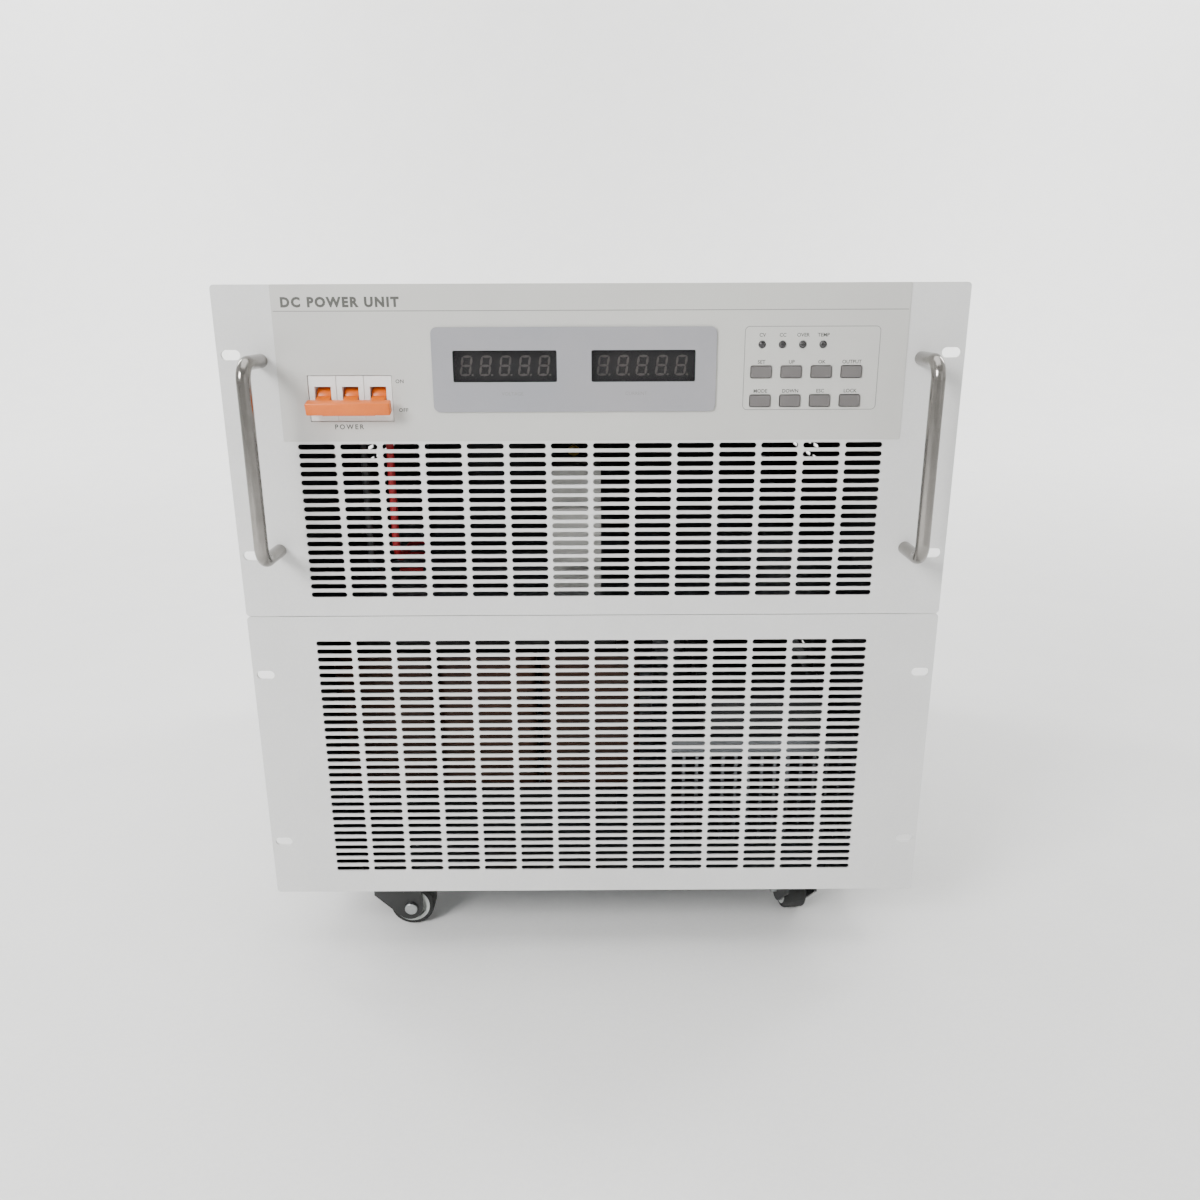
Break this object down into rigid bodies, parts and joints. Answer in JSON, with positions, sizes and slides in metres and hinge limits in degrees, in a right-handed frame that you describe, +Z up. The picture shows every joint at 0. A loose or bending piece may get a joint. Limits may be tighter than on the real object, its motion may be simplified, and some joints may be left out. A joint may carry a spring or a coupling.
{
  "type": "bench power supply",
  "caption": "Rack-format bench power supply in a vented sheet-metal cabinet on castors, with breaker, displays, keys and handles.",
  "frame": {"origin": "on the floor, under the middle of the whole object", "axes": "+X to the right of someone facing the controls, +Y from front to back, +Z up"},
  "size_m": [0.4826, 0.642, 0.4934],
  "materials": {
    "panel_paint": "fine matt light grey paint",
    "case_paint": "fine matt light grey paint",
    "zinc_sheet": "zinc plated",
    "screw_steel": "zinc plated",
    "label_sheet": "matt printed polycarbonate",
    "bezel_plastic": "satin grey",
    "smoked_window": "smoked, polished",
    "display_body": "matt black",
    "circuit_board": "green solder mask",
    "lamp_lens": "dark tinted lens",
    "breaker_moulding": "off-white moulding",
    "orange_plastic": "semi-gloss orange",
    "key_plastic": "grey moulding",
    "handle_chrome": "polished",
    "castor_black": "black paint",
    "axle_steel": "zinc plated",
    "tyre_rubber": "matt black rubber",
    "hub_plastic": "grey moulding",
    "fan_plastic": "black moulding",
    "lamination_steel": "varnished laminations",
    "winding": "varnished copper winding",
    "sink_aluminium": "as extruded",
    "module_plastic": "black moulding",
    "can_aluminium": "sleeved cans",
    "contactor_moulding": "light grey moulding",
    "terminal_plastic": "black moulding",
    "bar_copper": "bare copper",
    "insulator_board": "red laminate board",
    "stud_brass": "bare brass",
    "wire_red": "red insulation"
  },
  "bodies": {
    "cabinet": {"base_plate": "zinc_sheet", "left_side_panel": "case_paint", "right_side_panel": "case_paint", "top_cover": "case_paint", "rear_panel": "case_paint", "middle_shelf": "zinc_sheet", "corner_posts": "zinc_sheet", "case_screws": "screw_steel", "upper_front_panel": "panel_paint", "lower_front_panel": "panel_paint", "control_overlay": "label_sheet", "display_plate": "bezel_plastic", "display_windows": "smoked_window", "display_modules": "display_body", "control_board": "circuit_board", "status_leds": "lamp_lens", "breaker_body": "breaker_moulding", "left_handle": "handle_chrome", "right_handle": "handle_chrome", "handle_screws": "screw_steel", "castor_plates": "castor_black", "fan_frames": "fan_plastic", "transformer_core": "lamination_steel", "transformer_coils": "winding", "heat_sink": "sink_aluminium", "power_modules": "module_plastic", "capacitor_bank": "can_aluminium", "contactor": "contactor_moulding", "input_terminal_block": "terminal_plastic", "output_busbars": "bar_copper", "busbar_insulator": "insulator_board", "ground_stud": "stud_brass", "wiring_loom": "wire_red"},
    "key_1": {"key_1": "key_plastic"},
    "key_2": {"key_2": "key_plastic"},
    "key_3": {"key_3": "key_plastic"},
    "key_4": {"key_4": "key_plastic"},
    "key_5": {"key_5": "key_plastic"},
    "key_6": {"key_6": "key_plastic"},
    "key_7": {"key_7": "key_plastic"},
    "key_8": {"key_8": "key_plastic"},
    "breaker_handle": {"breaker_toggle": "orange_plastic"},
    "castor_swivel_1": {"castor_fork_1": "castor_black", "castor_axle_1": "axle_steel"},
    "castor_wheel_1": {"castor_tyre_1": "tyre_rubber", "castor_hub_1": "hub_plastic"},
    "castor_swivel_2": {"castor_fork_2": "castor_black", "castor_axle_2": "axle_steel"},
    "castor_wheel_2": {"castor_tyre_2": "tyre_rubber", "castor_hub_2": "hub_plastic"},
    "castor_swivel_3": {"castor_fork_3": "castor_black", "castor_axle_3": "axle_steel"},
    "castor_wheel_3": {"castor_tyre_3": "tyre_rubber", "castor_hub_3": "hub_plastic"},
    "castor_swivel_4": {"castor_fork_4": "castor_black", "castor_axle_4": "axle_steel"},
    "castor_wheel_4": {"castor_tyre_4": "tyre_rubber", "castor_hub_4": "hub_plastic"},
    "fan_1": {"fan_rotor_1": "fan_plastic"},
    "fan_2": {"fan_rotor_2": "fan_plastic"}
  },
  "joints": [
    {"name": "key_1_press", "type": "slide", "parent": "cabinet", "child": "key_1", "axis": [0, 1, 0], "range_m": [0, 0.001], "stiffness_N_per_m": 600},
    {"name": "key_2_press", "type": "slide", "parent": "cabinet", "child": "key_2", "axis": [0, 1, 0], "range_m": [0, 0.001], "stiffness_N_per_m": 600},
    {"name": "key_3_press", "type": "slide", "parent": "cabinet", "child": "key_3", "axis": [0, 1, 0], "range_m": [0, 0.001], "stiffness_N_per_m": 600},
    {"name": "key_4_press", "type": "slide", "parent": "cabinet", "child": "key_4", "axis": [0, 1, 0], "range_m": [0, 0.001], "stiffness_N_per_m": 600},
    {"name": "key_5_press", "type": "slide", "parent": "cabinet", "child": "key_5", "axis": [0, 1, 0], "range_m": [0, 0.001], "stiffness_N_per_m": 600},
    {"name": "key_6_press", "type": "slide", "parent": "cabinet", "child": "key_6", "axis": [0, 1, 0], "range_m": [0, 0.001], "stiffness_N_per_m": 600},
    {"name": "key_7_press", "type": "slide", "parent": "cabinet", "child": "key_7", "axis": [0, 1, 0], "range_m": [0, 0.001], "stiffness_N_per_m": 600},
    {"name": "key_8_press", "type": "slide", "parent": "cabinet", "child": "key_8", "axis": [0, 1, 0], "range_m": [0, 0.001], "stiffness_N_per_m": 600},
    {"name": "breaker_throw", "type": "hinge", "parent": "cabinet", "child": "breaker_handle", "pos_m": [-0.1571, -0.272, 0.4216], "axis": [-1, 0, 0], "range_deg": [0, 32]},
    {"name": "castor_1_swivel", "type": "hinge", "parent": "cabinet", "child": "castor_swivel_1", "pos_m": [-0.164, -0.239, 0.0515], "axis": [0, 0, 1], "continuous": true},
    {"name": "castor_1_roll", "type": "hinge", "parent": "castor_swivel_1", "child": "castor_wheel_1", "pos_m": [-0.147, -0.239, 0.0175], "axis": [0, 1, 0], "continuous": true},
    {"name": "castor_2_swivel", "type": "hinge", "parent": "cabinet", "child": "castor_swivel_2", "pos_m": [0.164, -0.239, 0.0515], "axis": [0, 0, 1], "continuous": true},
    {"name": "castor_2_roll", "type": "hinge", "parent": "castor_swivel_2", "child": "castor_wheel_2", "pos_m": [0.16193, -0.22213, 0.0175], "axis": [-0.9925, -0.1219, 0], "continuous": true},
    {"name": "castor_3_swivel", "type": "hinge", "parent": "cabinet", "child": "castor_swivel_3", "pos_m": [-0.164, 0.239, 0.0515], "axis": [0, 0, 1], "continuous": true},
    {"name": "castor_3_roll", "type": "hinge", "parent": "castor_swivel_3", "child": "castor_wheel_3", "pos_m": [-0.17375, 0.22507, 0.0175], "axis": [0.8192, -0.5736, 0], "continuous": true},
    {"name": "castor_4_swivel", "type": "hinge", "parent": "cabinet", "child": "castor_swivel_4", "pos_m": [0.164, 0.239, 0.0515], "axis": [0, 0, 1], "continuous": true},
    {"name": "castor_4_roll", "type": "hinge", "parent": "castor_swivel_4", "child": "castor_wheel_4", "pos_m": [0.17702, 0.22807, 0.0175], "axis": [0.6428, 0.766, 0], "continuous": true},
    {"name": "fan_1_spin", "type": "hinge", "parent": "cabinet", "child": "fan_1", "pos_m": [-0.098, 0.254, 0.143], "axis": [0, 1, 0], "continuous": true},
    {"name": "fan_2_spin", "type": "hinge", "parent": "cabinet", "child": "fan_2", "pos_m": [0.098, 0.254, 0.143], "axis": [0, 1, 0], "continuous": true}
  ]
}
